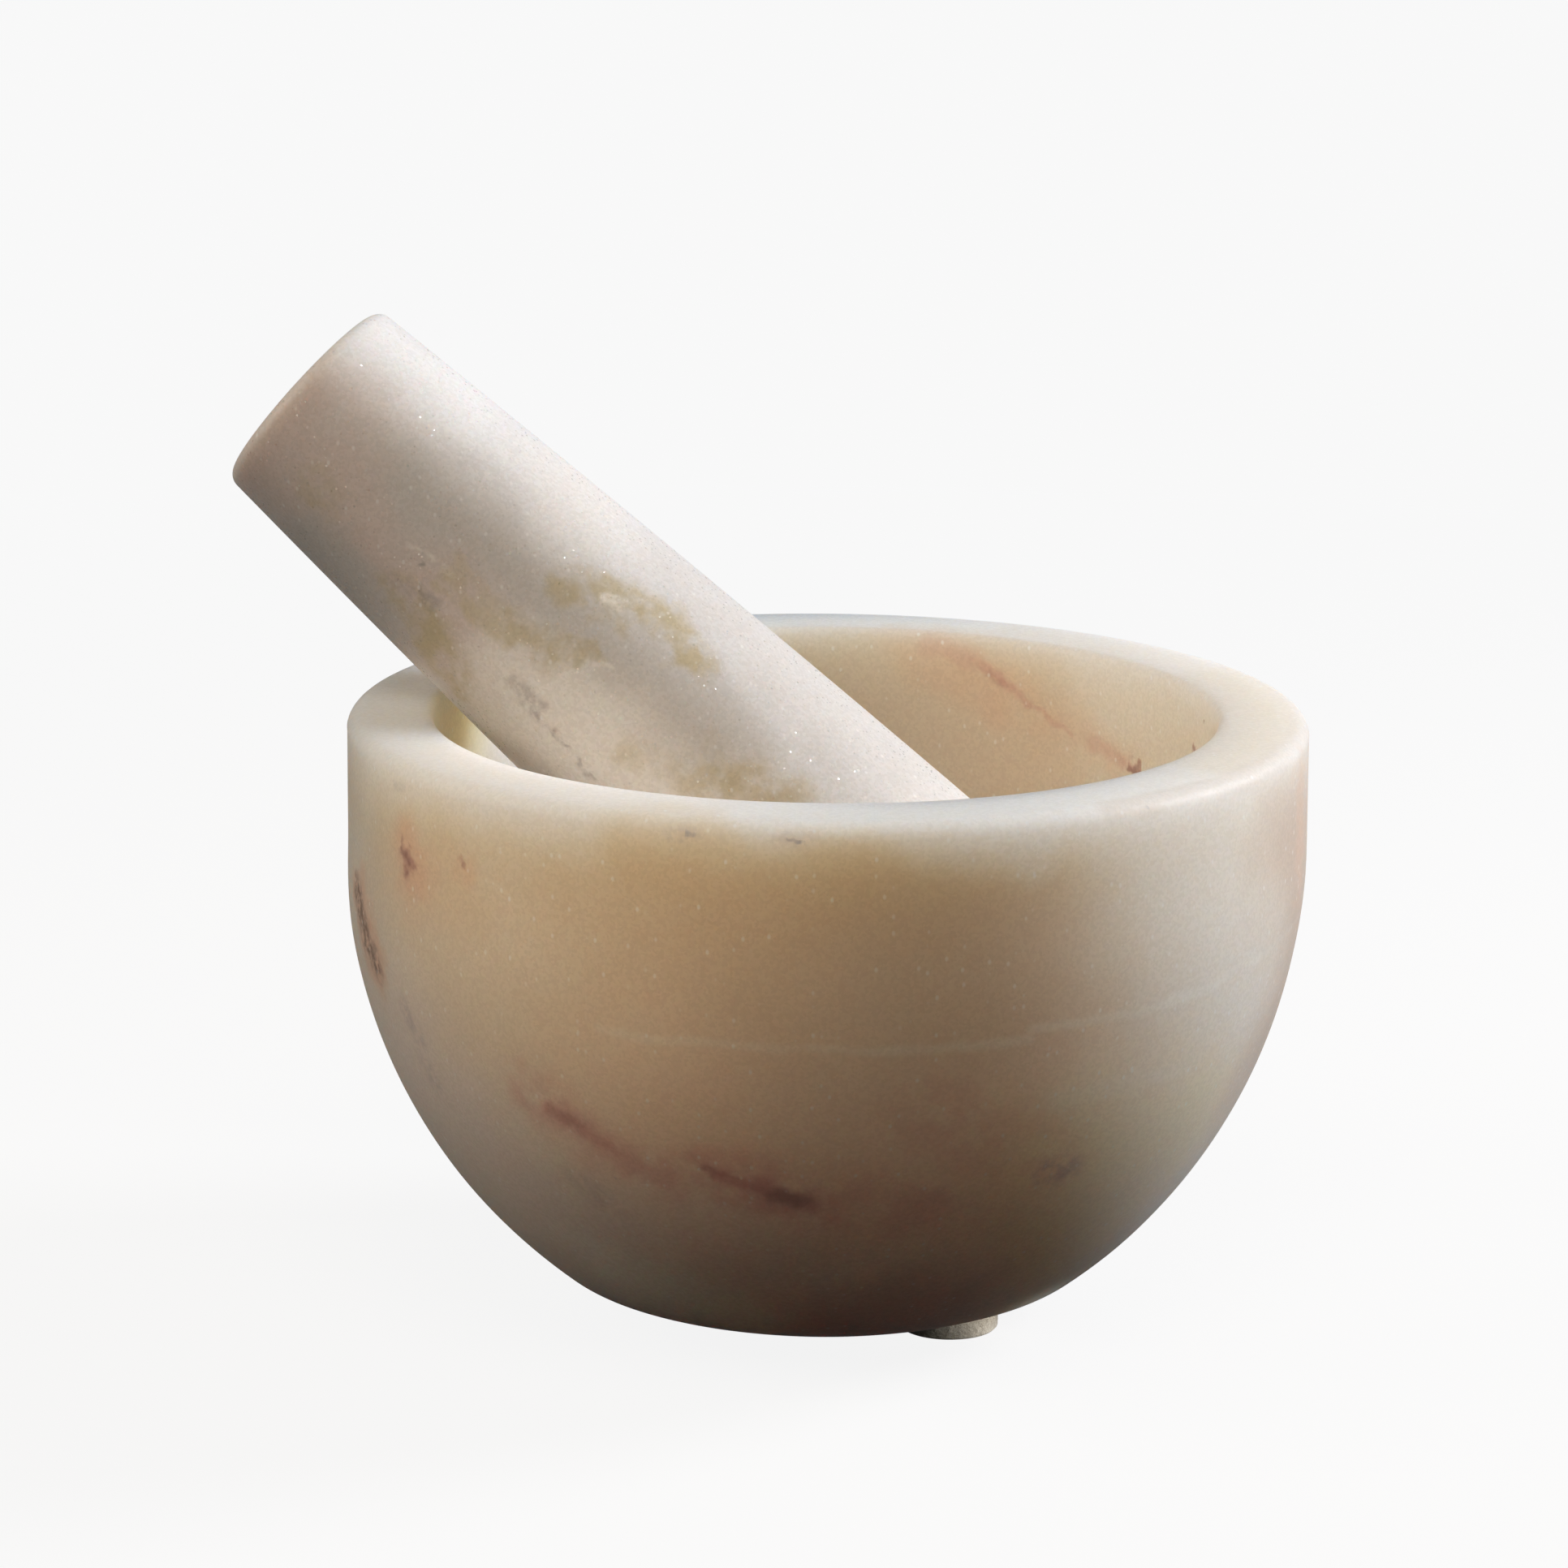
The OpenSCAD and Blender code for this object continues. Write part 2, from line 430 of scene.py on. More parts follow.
def follow(start, end, steps, reach, core, strength):
    """Short marks one after the other round the bowl; start and end are (heading, height, radius)."""
    stops = [at(*(a + (b - a) * n / steps for a, b in zip(start, end))) for n in range(steps + 1)]
    return [(near, far, reach, core, strength) for near, far in zip(stops, stops[1:])]


tan_band = [
    (at(-102, 74, 76), at(-68, 71, 75), 44, 2, 1.0), (at(-152, 80, 76), at(-140, 79, 76), 15, 2, 0.5),
]
peach_belly = [(at(-104, 44, 70), at(-62, 42, 70), 34, 4, 0.95)]
grey_flank = [
    (at(-150, 45, 71), at(-104, 20, 54), 30, 4, 0.85), (at(132, 30, 65), at(166, 66, 75), 36, 2, 0.6),
]
white_flank = [(at(-44, 88, 76), at(-30, 60, 75), 36, 3, 0.95)]
# Partly the stone's warm tone, partly painted light: the belly's lower right is painted paler, for light
# from low at the right.
honey_and_painted_low_light = [
    (at(-56, 42, 70), at(-34, 40, 69), 24, 3, 0.9), (at(-54, 26, 60), at(-42, 30, 65), 22, 3, 0.7),
]
foot_brown = [(at(-88, 3, 42), at(-72, 7, 46), 24, 3, 0.85)]
# Painted light: the underside at the lower left is painted pale, for light from low at the left.
painted_light_foot = [(at(-124, 17, 52), at(-106, 12, 46), 17, 2, 0.8)]
beige_flank = [
    (at(-13, 96, 76), at(-6, 48, 73), 32, 2, 0.9), (at(64, 72, 76), at(104, 60, 75), 44, 2, 0.6),
]
hollow_tan = [(at(60, 78, 62), at(100, 77, 62), 24, 6, 0.85)]
# Painted light: the rim's top is painted brighter at the front and at the back than the lamps leave it.
painted_rim_light = [
    (at(-95, 98, 70), at(-72, 98, 70), 10, 5, 1.0), (at(-72, 98, 70), at(-46, 98, 70), 11, 6, 1.0),
    (at(68, 98, 71), at(88, 98, 71), 8, 4, 1.0), (at(88, 98, 71), at(108, 98, 71), 9, 5, 1.0),
    (at(108, 98, 71), at(125, 98, 71), 8, 4, 1.0),
]
high_tan = [
    (at(-112, 90, 76), at(-100, 90, 76), 10, 2, 0.6), (at(-100, 90, 76), at(-88, 90, 76), 8, 2, 0.5),
]
# Painted shade: the band's right side, just under the rim, is painted darker to damp the key lamp's
# light there.
painted_shade_right = [(at(-26, 90, 76), at(-8, 90, 76), 9, 2, 0.55)]
low_white = [(at(-78, 92, 76), at(-68, 91, 76), 8, 2, 0.55)]
rim_cream = [(at(-28, 98, 69), at(-4, 98, 69), 12, 5, 0.8), (at(-4, 98, 69), at(20, 98, 69), 12, 5, 0.7)]
# Painted shade: the hollow's wall in the pestle's shadow is painted warm yellow.
painted_shade_hollow = [(at(163, 91, 60), at(188, 84, 60), 16, 6, 0.85)]
hollow_pale = [(at(18, 90, 62), at(38, 86, 62), 18, 4, 0.45)]
# Painted light: a bright strip on the hollow's wall, where the key lamp's light falls past the pestle's
# shadow.
painted_light_strip = [(at(149, 86, 62), at(144, 76, 62), 7, 1, 0.6)]
rust_halo = [
    (at(-148, 84, 76), at(-145, 79, 76), 8, 0.5, 0.6), (at(-136, 84, 76), at(-136, 83, 76), 4, 0.5, 0.3),
    (at(-163, 71, 75), at(-158, 62, 75), 8, 1.5, 0.8), (at(-15, 91, 76), at(-13, 72, 76), 6, 0.5, 0.4),
    (at(76, 95, 62), at(62, 88, 62), 9, 2, 0.4), (at(62, 88, 62), at(36, 79, 62), 6, 1, 0.22),
]
rose_veins = [
    (at(-127, 50, 73), at(-119, 44, 70), 8, 0.3, 0.45),
    (at(-119, 44, 70), at(-110, 38, 68), 7, 0.3, 0.35),
    (at(-105, 41, 69), at(-98, 38, 68), 8, 0.3, 0.4), (at(-98, 38, 68), at(-91, 35, 66), 8, 0.6, 0.45),
    (at(46, 60, 75), at(54, 54, 74), 7, 0.3, 0.35), (at(54, 54, 74), at(64, 50, 73), 8, 0.3, 0.3),
    (at(150, 72, 76), at(157, 66, 75), 7, 0.3, 0.3), (at(-91, 35, 66), at(-76, 35, 66), 10, 0.5, 0.28),
    (at(-78, 52, 73), at(-62, 42, 69), 12, 1, 0.2),
]
rust_marks = [
    (at(-95.4, 36.8, 67), at(-92.6, 35.8, 67), 2.8, 0.3, 0.42),
    (at(-104.4, 40.6, 69), at(-101, 39.4, 68.5), 1.5, 0.1, 0.25),
    (at(-124.6, 47.4, 72), at(-121.5, 45.4, 71), 1.8, 0.1, 0.3),
    (at(-148.2, 83.8, 76), at(-147.6, 82.6, 76), 1.3, 0.1, 0.7),
    (at(-147.4, 82.2, 76), at(-146.8, 80.8, 76), 2.6, 0.1, 0.9),
    (at(118, 80, 76), at(119, 78.6, 76), 1.6, 0.2, 0.5),
    (at(152, 70, 76), at(153, 68, 75.5), 1.8, 0.2, 0.4),
    (at(-136, 84, 76), at(-136, 83.7, 76), 1.3, 0.2, 0.45),
    (at(64, 90, 62), at(61, 88.5, 62), 1.3, 0.2, 0.25),
    (at(35.5, 79, 62), at(34.5, 78.8, 62), 1.6, 0.4, 0.7),
    (at(16.5, 86, 62), at(15.5, 86, 62), 1.3, 0.3, 0.7),
    (at(12, 92, 62), at(11.8, 92, 62), 0.5, 0.2, 0.9),
]
rust_pits = [
    (at(-164, 71, 75.3), at(-160.5, 65, 75), 4.2, 1.0, 0.95),
    (at(-161, 66, 75), at(-157.5, 61.5, 75), 3.6, 0.8, 0.95),
    (at(-96, 36.8, 67), at(-92, 35.4, 67), 3.2, 0.5, 0.12),
]
slate_marks = [
    (at(-105.4, 94.0, 76), at(-104.4, 93.9, 76), 0.8, 0.3, 0.9),
    (at(-107, 94, 76), at(-104.5, 94, 76), 2.2, 0.2, 0.3),
    (at(-93.6, 93.8, 76), at(-92.5, 93.8, 76), 0.8, 0.3, 0.9),
    (at(-95, 94, 76), at(-91.5, 94, 76), 2.2, 0.2, 0.3),
    (at(-150, 92.5, 76), at(-148, 92.5, 76), 1.4, 0.2, 0.3),
    (at(-51, 95, 76), at(-50.8, 95, 76), 0.7, 0.2, 0.5),
    (at(-150, 57, 74), at(-148, 53, 74), 3.4, 0.2, 0.4),
    (at(-148, 49, 71), at(-147, 45, 71), 3.4, 0.2, 0.3),
    (at(-59.5, 38.6, 68), at(-56.5, 38, 68), 4.6, 0.2, 0.45),
    (at(-117, 37, 67), at(-116.8, 37, 67), 0.6, 0.2, 0.7),
    (at(-124, 36, 66), at(-119, 31, 62), 5, 0.3, 0.25),
]
chalk_lines = (
    follow((-116, 62.4, 75), (-84, 61.4, 75), 4, 1.3, 0.2, 0.22)
    + follow((-84, 61.4, 75), (-66, 61.6, 75), 2, 1.4, 0.2, 0.3)
    + follow((-66, 63.2, 75), (-46, 64.2, 75), 2, 1.4, 0.2, 0.3)
    + follow((-46, 64.2, 75), (-28, 66.2, 75), 2, 1.7, 0.3, 0.5)
    + follow((-28, 66.2, 75), (-8, 67.4, 75), 2, 1.5, 0.2, 0.25)
    + follow((84, 60, 75), (116, 57, 74.5), 3, 1.4, 0.2, 0.25)
    + follow((-62, 51, 73), (-40, 52, 73), 2, 3.0, 0.5, 0.15)
    + follow((-120, 14, 48), (-80, 13, 46), 4, 1.4, 0.1, 0.25)
)
# Painted shade: the rim's outer rounding at the front right is painted darker to damp the key lamp's
# highlight on it.
painted_shade_rim_edge = follow((-56, 96.5, 75.5), (28, 96.5, 75.5), 8, 3.4, 1.2, 0.6)
rose_lines = [
    (at(74, 94.5, 62), at(67, 92.5, 62), 3.2, 0.4, 0.3),
    (at(67, 92.5, 62), at(57, 86, 62), 1.4, 0.2, 0.42),
    (at(57, 86, 62), at(49, 82.5, 62), 0.9, 0.1, 0.3),
    (at(44, 81, 62), at(38, 79.5, 62), 2.4, 0.3, 0.25),
    (at(47, 59.5, 75), at(54, 54, 74), 1.6, 0.2, 0.3), (at(54, 54, 74), at(61, 51, 73), 1.2, 0.1, 0.25),
    (at(-125, 47.6, 72), at(-119, 43.6, 70), 2.0, 0.2, 0.35),
    (at(-119, 43.6, 70), at(-112, 39.4, 68), 1.6, 0.1, 0.25),
    (at(-104.5, 40.6, 69), at(-98, 38.2, 68), 1.8, 0.2, 0.45),
    (at(-98, 38.2, 68), at(-92, 35.4, 66.5), 2.6, 0.4, 0.5),
]
bowl_stone = stone(
    "marble_bowl_stone", bowl_base,
    [(TAN, zone(tan_band, size=0.03, reach=0.012)),
     (PEACH, zone(peach_belly, size=0.03, reach=0.012)),
     (PINK_GREY, zone(grey_flank, size=0.02, reach=0.01)),
     (COOL_WHITE, zone(white_flank, size=0.02, reach=0.01)),
     (HONEY_AND_PAINTED_LIGHT, zone(honey_and_painted_low_light, size=0.02, reach=0.01)),
     (DULL_BEIGE, zone(beige_flank, size=0.025, reach=0.014)),
     (HOLLOW_TAN, zone(hollow_tan, size=0.02, reach=0.008)),
     (PAINTED_SHADE_YELLOW, zone(painted_shade_hollow, size=0.02, reach=0.005)),
     (RIM_WHITE, zone(hollow_pale, size=0.02, reach=0.008)),
     (PAINTED_LIGHT_WHITE, zone(painted_light_strip, size=0.02, reach=0.002)),
     (FOOT_BROWN, zone(foot_brown, size=0.02, reach=0.008)),
     (PAINTED_LIGHT_PALE, zone(painted_light_foot, size=0.02, reach=0.008)),
     (RIM_WHITE, rim_amount),
     (TAN, zone(high_tan, size=0.02, reach=0.006)),
     (RIM_WHITE, zone(low_white, size=0.02, reach=0.006)),
     (CREAM, zone(rim_cream, size=0.02, reach=0.006)),
     (PAINTED_SHADE_EDGE, zone(painted_shade_right, size=0.02, reach=0.006)),
     (PAINTED_LIGHT_WHITE, zone(painted_rim_light, size=0.02, reach=0.004)),
     (PAINTED_SHADE_EDGE, zone(painted_shade_rim_edge, size=0.01, reach=0.002)),
     (RUST_HALO, zone(rust_halo, size=0.007, reach=0.005)),
     (ROSE, zone(rose_veins, size=0.008, reach=0.005, patch=0.006)),
     (ROSE, zone(rose_lines, size=0.004, reach=0.0018)),
     (RUST, zone(rust_marks, size=0.0025, reach=0.0024)),
     (PIT_BROWN, zone(rust_pits, size=0.0035, reach=0.002, patch=0.0016)),
     (SLATE, zone(slate_marks, size=0.003, reach=0.0012, patch=0.0022)),
     (CHALK, zone(chalk_lines, size=0.012, reach=0.0014))],
    glow=(1.0, 0.76, 0.56), glow_depth=0.035, gloss=0.2, rough=0.5, grain=0.35, sparkle=0.15)
bowl.data.materials.append(bowl_stone)
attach(bowl, "bowl")
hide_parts("mortar")

# --- Pestle ---------------------------------------------------------------------------------
# The pestle is turned from one bar of whiter marble: a ball for grinding, a long taper that swells
# a little, and a softly domed end. It lies loose, with its ball in the hollow and its flank on the
# rim.
PESTLE_L = 0.1682
HEAD_R = 0.024
HANDLE_R = 0.0179
FLANK_R = 4.1
CAP_R = 0.12
CAP_EDGE_R = 0.0022
LEAN = math.radians(40)
LEAN_HEADING = math.radians(12.8)
HEAD_OUT, HEAD_UP = 0.023762, 0.050967
PESTLE_SIDES = 192

top_s = PESTLE_L - HEAD_R
flank_c = crossing((0, 0), FLANK_R - HEAD_R, (HANDLE_R, top_s), FLANK_R)
cap_c = (0, top_s - CAP_R)
edge_c = crossing(flank_c, FLANK_R - CAP_EDGE_R, cap_c, CAP_R - CAP_EDGE_R)
foot = heading(flank_c, (0, 0))
flank_top = heading(flank_c, edge_c)
cap_turn = heading(cap_c, edge_c)
start_outline("marble_pestle", 0, -HEAD_R)
run_round((0, 0), math.pi / 2 + foot, steps=36)
run_round(flank_c, flank_top - foot, steps=90)
run_round(edge_c, cap_turn - flank_top, steps=10)
run_round(cap_c, math.pi / 2 - cap_turn, steps=12)
turn_outline(PESTLE_SIDES)
pestle = bpy.context.object
pestle.rotation_euler = (0, LEAN - math.pi / 2, 0)
pestle.location = (HEAD_OUT, 0, HEAD_UP)
bpy.ops.object.transform_apply(location=True, rotation=True, scale=True)
pestle.rotation_euler = (0, 0, -LEAN_HEADING)
bpy.ops.object.transform_apply(location=True, rotation=True, scale=True)


def lying(out, turn, station):
    """A point in the leaning pestle: mm out from its axis, degrees from its top, mm up its length."""
    side, over = math.sin(math.radians(turn)) * out / 1000, math.cos(math.radians(turn)) * out / 1000
    rise = station / 1000
    x = HEAD_OUT - rise * math.cos(LEAN) + over * math.sin(LEAN)
    z = HEAD_UP + rise * math.sin(LEAN) + over * math.cos(LEAN)
    c, s = math.cos(LEAN_HEADING), math.sin(LEAN_HEADING)
    return x * c + side * s, -x * s + side * c, z


PALE = (0.86, 0.855, 0.855)
MILK = (0.88, 0.86, 0.84)
TIP_WHITE = (0.955, 0.955, 0.955)
# Painted shade, grey-pink, for the handle's underside.
PAINTED_SHADE_PINK = (0.77, 0.665, 0.61)
# Painted light, for what the bowl throws back on the pestle.
PAINTED_BOUNCE_MILK = (0.94, 0.89, 0.83)
# Painted shade, grey, along the side that turns from the light.
SHADE_GREY = (0.70, 0.67, 0.64)
OCHRE = (0.66, 0.57, 0.38)
ASH = (0.44, 0.40, 0.38)
MILKY = (0.42, 0.66)


def pestle_base(tree, place):
    """Milky clouds in pale grey."""
    drift = cloud(tree, wobble(tree, place, size=0.02, reach=0.01), size=0.03, detail=3.0)
    return blend(tree, step_between(tree, drift, *MILKY), PALE, MILK)


tip_white = [(lying(18, -28, 150), lying(18, -32, 126), 20, 4, 0.95)]
# Painted shade: the handle's underside, towards its end, is painted darker and pinker.
painted_shade_handle = [
    (lying(18, -104, 138), lying(20, -108, 102), 24, 6, 0.95),
    (lying(18, -76, 128), lying(20, -74, 104), 11, 2, 0.8),
    (lying(20, -134, 122), lying(20, -134, 106), 14, 5, 1.0),
]
# Painted light: the pestle's lower front, near the bowl, is painted paler for the light that the bowl
# throws back on it.
painted_bounce_foot = [(lying(21, -100, 82), lying(23, -95, 52), 20, 8, 0.85)]
# Painted shade along the side that turns from the light and on the underside; the first mark greys the
# top near the ball.
grey_and_painted_shade = [
    (lying(23, 5, 72), lying(24, 0, 34), 22, 8, 0.6),
    (lying(20, -64, 118), lying(22, -58, 56), 13, 2, 0.8),
    (lying(20, -138, 124), lying(20, -138, 108), 11, 3, 0.9),
    (lying(21, -140, 76), lying(21, -140, 60), 9, 2, 0.6),
]
ochre_patches = [
    (lying(19, -99, 131), lying(19, -102, 127), 4, 0.8, 0.55),
    (lying(20, -112, 108), lying(20, -116, 101), 5.5, 1.6, 0.8),
    (lying(20, -116, 101), lying(21, -126, 95), 6.0, 2.2, 0.9),
    (lying(20, -85, 104), lying(20, -90, 97), 3.6, 0.6, 0.65),
    (lying(20, -90, 97), lying(21, -87, 91), 4.2, 0.8, 0.6),
    (lying(21, -87, 91), lying(21, -79, 85), 3.8, 0.8, 0.7),
    (lying(21, -79, 85), lying(21, -71, 79), 2.8, 0.8, 0.8),
    (lying(21, -52, 88), lying(21, -45, 83), 5.4, 2.0, 0.8),
    (lying(21, -45, 83), lying(21, -39, 76), 5.2, 2.0, 0.75),
    (lying(21, -39, 76), lying(22, -41, 68), 5.6, 2.4, 0.9),
    (lying(20, 96, 97), lying(21, 84, 85), 5, 1.0, 0.6),
    (lying(21, 132, 66), lying(22, 118, 52), 5.5, 1.0, 0.5),
    (lying(22, -88, 66), lying(22, -76, 53), 5, 0.8, 0.45),
    (lying(22, -76, 53), lying(23, -60, 42), 6.5, 1.5, 0.75),
]
ash_marks = [
    (lying(20, -108, 111), lying(20, -107, 109), 2.2, 0.3, 0.4),
    (lying(20, -103, 106), lying(20, -103, 104), 2.4, 0.3, 0.5),
    (lying(21, -104, 85), lying(21, -106, 81), 2.8, 0.3, 0.55),
    (lying(21, -108, 80), lying(22, -112, 66), 0.9, 0.1, 0.6),
    (lying(20, 104, 92), lying(21, 110, 80), 1.2, 0.1, 0.5),
    (lying(18, 70, 134), lying(18, 72, 132), 1.2, 0.3, 0.5),
    (lying(19, -139, 123), lying(19, -139, 122.8), 0.9, 0.3, 0.8),
    (lying(20, -93, 109), lying(20, -93, 108.8), 0.7, 0.2, 0.8),
]
chalk_cracks = [
    (lying(20, -90, 113), lying(20, -87, 104), 0.8, 0.1, 0.5),
    (lying(21, -77, 82), lying(21, -68, 75), 0.9, 0.1, 0.8),
    (lying(21, -48, 84.5), lying(21, -46.5, 82), 1.4, 0.4, 0.9),
]
pestle_stone = stone(
    "marble_pestle_stone", pestle_base,
    [(TIP_WHITE, zone(tip_white, size=0.015, reach=0.008)),
     (PAINTED_SHADE_PINK, zone(painted_shade_handle, size=0.015, reach=0.008)),
     (PAINTED_BOUNCE_MILK, zone(painted_bounce_foot, size=0.015, reach=0.008)),
     (SHADE_GREY, zone(grey_and_painted_shade, size=0.015, reach=0.008)),
     (OCHRE, zone(ochre_patches, size=0.006, reach=0.005, patch=0.006)),
     (ASH, zone(ash_marks, size=0.003, reach=0.0022, patch=0.002)),
     (CHALK, zone(chalk_cracks, size=0.003, reach=0.0018, patch=0.002))],
    glow=(1.0, 0.76, 0.6), glow_depth=0.006, gloss=0.3, rough=0.45, grain=0.4, sparkle=1.0)
pestle.data.materials.append(pestle_stone)
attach(pestle, "grinder")
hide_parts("pestle")

# --- Felt pads ------------------------------------------------------------------------------
# Three discs of pressed wool felt are glued under the bowl, half on its ground flat, so that their
# outer part keeps its full thickness and the stone doesn't scratch a table.
PAD_R = 0.0079
PAD_FREE_T = 0.003
PAD_RING_R = 0.0266
GLUE_T = 0.0001
PAD_EDGE = 0.00035
PAD_SIDES = 160
PAD_LAYERS = 8
PAD_RINGS = 16
FUZZ = 0.0003
LUMP = 0.0009
PAD_HEADINGS = {"front_pad": -40, "rear_pad": 80, "left_pad": 185}
WOOL = (0.88, 0.85, 0.78)
WOOL_SHADE = (0.70, 0.65, 0.57)
WOOL_MIX = (0.35, 0.65)
FIBRE = 0.0005
CURL, CURL_REACH = 0.0016, 0.0012
FIBRE_DEPTH = 0.0003


def felt_material():
    """Matted wool: fine curled fibres, dull, with a little sheen."""
    made = bpy.data.materials.new("wool_felt")
    made.use_nodes = True
    tree = made.node_tree
    place = tree.nodes.new("ShaderNodeTexCoord").outputs["Object"]
    fibre = cloud(tree, wobble(tree, place, CURL, CURL_REACH), FIBRE, detail=4.0, roughness=0.7)
    feed_by_name(tree, tree.nodes["Principled BSDF"],
                 Base_Color=blend(tree, step_between(tree, fibre, *WOOL_MIX), WOOL_SHADE, WOOL),
                 Normal=put(tree, "Bump", Strength=0.9, Distance=FIBRE_DEPTH, Height=fibre).outputs[0],
                 Roughness=0.95, Specular_IOR_Level=0.1, Sheen_Weight=0.25, Sheen_Roughness=0.6)
    return made


felt = felt_material()
wool_lumps = bpy.data.textures.new("wool_lumps", "CLOUDS")
wool_lumps.noise_scale = LUMP
wool_lumps.noise_depth = 4


def room_under_stone(x, y):
    """Height of a glued pad's top: its full thickness, or what the stone above it leaves."""
    r = math.hypot(x, y)
    stone_z = BASE_Z if r < BASE_R else under_c[1] - math.sqrt(UNDER_R**2 - r * r)
    return min(PAD_FREE_T, stone_z - GLUE_T)


end_share = 1 - PAD_EDGE / PAD_R
for node, heading_deg in PAD_HEADINGS.items():
    x, y, _ = at(heading_deg, 0, PAD_RING_R * 1000)
    bpy.ops.object.select_all(action="DESELECT")
    bpy.ops.mesh.primitive_circle_add(vertices=PAD_SIDES, radius=PAD_R, fill_type="NOTHING",
                                      location=(0, 0, 0))
    pad = bpy.context.object
    pad.name = "felt_" + node
    bpy.ops.object.mode_set(mode="EDIT")
    bpy.ops.mesh.select_all(action="SELECT")
    bpy.ops.transform.resize(value=(end_share, end_share, 1))
    bpy.ops.mesh.extrude_region_move()
    bpy.ops.transform.resize(value=(1 / end_share, 1 / end_share, 1))
    bpy.ops.transform.translate(value=(0, 0, PAD_EDGE))
    rise = (PAD_FREE_T - 2 * PAD_EDGE) / PAD_LAYERS
    for _ in range(PAD_LAYERS):
        bpy.ops.mesh.extrude_region_move(TRANSFORM_OT_translate={"value": (0, 0, rise)})
    pick(pad, "wall", lambda co: co.z > PAD_EDGE / 2)
    pick(pad, "open_edge", lambda co: co.z > PAD_FREE_T - PAD_EDGE * 1.5)
    bpy.ops.mesh.extrude_region_move(TRANSFORM_OT_translate={"value": (0, 0, PAD_EDGE)})
    bpy.ops.transform.resize(value=(end_share, end_share, 1))
    for z in (PAD_FREE_T, 0):
        pick(pad, "end", lambda co: abs(co.z - z) < PAD_EDGE / 4)
        for ring in range(PAD_RINGS - 1, 0, -1):
            bpy.ops.mesh.extrude_region_move()
            bpy.ops.transform.resize(value=(ring / (ring + 1), ring / (ring + 1), 1))
        bpy.ops.mesh.extrude_region_move()
        bpy.ops.mesh.merge(type="CENTER")
    bpy.ops.mesh.select_all(action="SELECT")
    bpy.ops.mesh.normals_make_consistent(inside=False)
    bpy.ops.transform.translate(value=(x, y, 0))
    bpy.ops.object.mode_set(mode="OBJECT")
    for v in pad.data.vertices:
        v.co.z *= room_under_stone(v.co.x, v.co.y) / PAD_FREE_T
    fuzz = pad.modifiers.new("fuzz", "DISPLACE")
    fuzz.texture, fuzz.strength, fuzz.vertex_group = wool_lumps, FUZZ, "wall"
    bpy.ops.object.modifier_apply(modifier=fuzz.name)
    pad.data.materials.append(felt)
    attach(pad, "bowl")
    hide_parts(node)

# --- Table and light ------------------------------------------------------------------------
# The set stands on a plain pale table. A large soft lamp stands at the right and a little behind,
# a weaker one at the left, and a third above the viewer. A small narrow one reaches the front pad,
# which lies in the bowl's shadow.
TABLE_R = 6.0
TABLE = 0.94
NEAR_TABLE = 0.885
SHADOW_SHARE = 0.08
SHADOW_R, BARE_R = 0.2, 0.7
ROOM_BOUNCE = 0.035
ROOM_IN_STONE = 0.32
TABLE_IN_STONE = 0.14


def seen_rays(tree, in_stone):
    """How pale a surface is: 1 seen straight or through glass, in_stone in a reflection, 0 as light."""
    ray = tree.nodes.new("ShaderNodeLightPath").outputs
    seen = maths(tree, "MAXIMUM", ray["Is Camera Ray"], ray["Is Transmission Ray"])
    return maths(tree, "MAXIMUM", seen, maths(tree, "MULTIPLY", ray["Is Glossy Ray"], in_stone))


bpy.ops.object.select_all(action="DESELECT")
bpy.ops.mesh.primitive_circle_add(vertices=96, radius=TABLE_R, fill_type="NGON", location=(0, 0, 0))
table = bpy.context.object
table.name = "table_top"
table_top = bpy.data.materials.new("pale_table")
table_top.use_nodes = True
tree = table_top.node_tree
dark = put(tree, "BsdfDiffuse", (ROOM_BOUNCE, ROOM_BOUNCE, ROOM_BOUNCE, 1))
spot = tree.nodes.new("ShaderNodeTexCoord").outputs["Object"]
far = step_between(tree, vectors(tree, "LENGTH", spot), SHADOW_R, BARE_R)
pale = put(tree, "BsdfDiffuse", blend(tree, far, (SHADOW_SHARE,) * 3, (0, 0, 0)))
glow = put(tree, "Emission", blend(tree, far, (NEAR_TABLE,) * 3, (TABLE,) * 3), 1.0)
both = put(tree, "AddShader", pale.outputs[0], glow.outputs[0])
mixed = put(tree, "MixShader", seen_rays(tree, TABLE_IN_STONE), dark.outputs[0], both.outputs[0])
tree.links.new(mixed.outputs[0], tree.nodes["Material Output"].inputs["Surface"])
tree.nodes.remove(tree.nodes["Principled BSDF"])
table.data.materials.append(table_top)

room = bpy.data.worlds.new("pale_room")
scene.world = room
room.use_nodes = True
tree = room.node_tree
strength = put(tree, "MapRange", seen_rays(tree, ROOM_IN_STONE), To_Min=ROOM_BOUNCE, To_Max=TABLE)
feed_by_name(tree, tree.nodes["Background"], Color=(1, 1, 1, 1), Strength=strength.outputs["Result"])

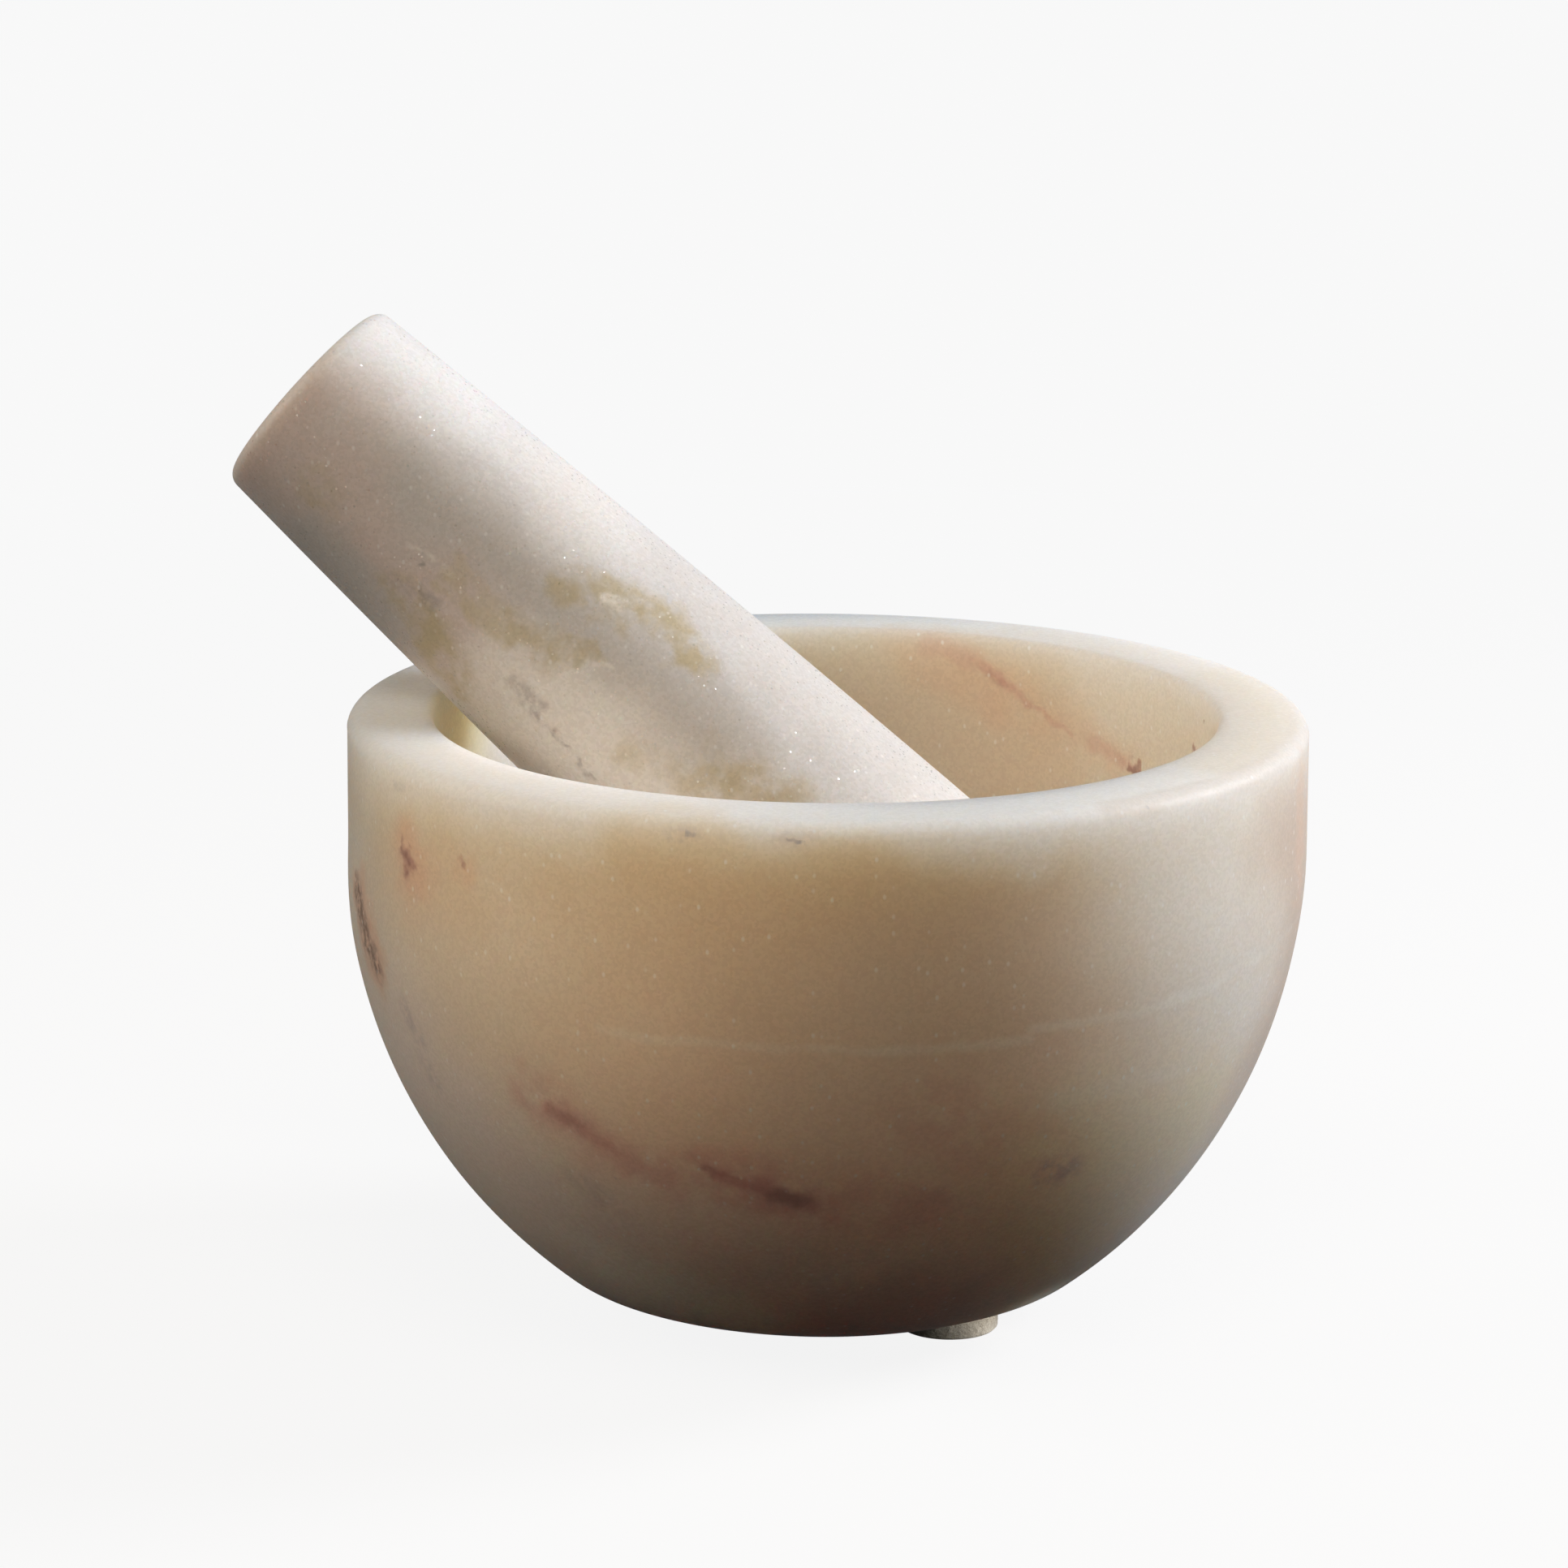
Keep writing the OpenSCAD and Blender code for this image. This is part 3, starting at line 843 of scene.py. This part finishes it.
LAMP_AWAY = 1.2
BOWL_MIDDLE = (0, 0, 0.06)
PAD_SIDE = (0.024, -0.020, 0.002)


def lamp(name, heading_deg, rise_deg, distance, size, watts, colour, aim=BOWL_MIDDLE, spread_deg=180):
    """A round soft lamp on the given heading and height from the point it looks at."""
    a, e = math.radians(heading_deg), math.radians(rise_deg)
    spot = (aim[0] + distance * math.cos(e) * math.cos(a), aim[1] + distance * math.cos(e) * math.sin(a),
            aim[2] + distance * math.sin(e))
    bpy.ops.object.light_add(type="AREA", location=spot, rotation=(math.pi / 2 - e, 0, a + math.pi / 2))
    made = bpy.context.object
    made.name = name
    made.data.shape = "DISK"
    made.data.size = size
    made.data.energy = watts
    made.data.color = colour
    made.data.spread = math.radians(spread_deg)


lamp("key_lamp", 15, 28, LAMP_AWAY, size=0.45, watts=14.8, colour=(1, 1, 1.04))
lamp("left_lamp", -171, 27, LAMP_AWAY, size=0.7, watts=5.1, colour=(1, 0.91, 0.79))
lamp("front_lamp", -85, 54, LAMP_AWAY, size=0.7, watts=4.6, colour=(1, 0.88, 0.735))
lamp("pad_lamp", -28, 1.5, 0.5, size=0.006, watts=0.0002, colour=(1, 0.93, 0.82), aim=PAD_SIDE,
     spread_deg=2)

# --- Camera ---------------------------------------------------------------------------------
# The camera stands in front, a little above the rim, and looks down on it through a long lens,
# turned and rolled by less than half a degree.
CAMERA_BACK, CAMERA_UP = 0.94068, 0.30922
PITCH, YAW, ROLL = 0.2349, -0.0069, 0.0079
LENS, SENSOR = 139.95, 36
CLIP_END = 50
bpy.ops.object.camera_add(location=(0, -CAMERA_BACK, CAMERA_UP))
camera = bpy.context.object
camera.matrix_world = (Matrix.Translation((0, -CAMERA_BACK, CAMERA_UP)) @ Matrix.Rotation(-YAW, 4, "Z")
                       @ Matrix.Rotation(math.pi / 2 - PITCH, 4, "X") @ Matrix.Rotation(ROLL, 4, "Z"))
camera.data.lens, camera.data.sensor_width = LENS, SENSOR
camera.data.clip_end = CLIP_END
scene.camera = camera
scene.view_settings.view_transform = "Standard"
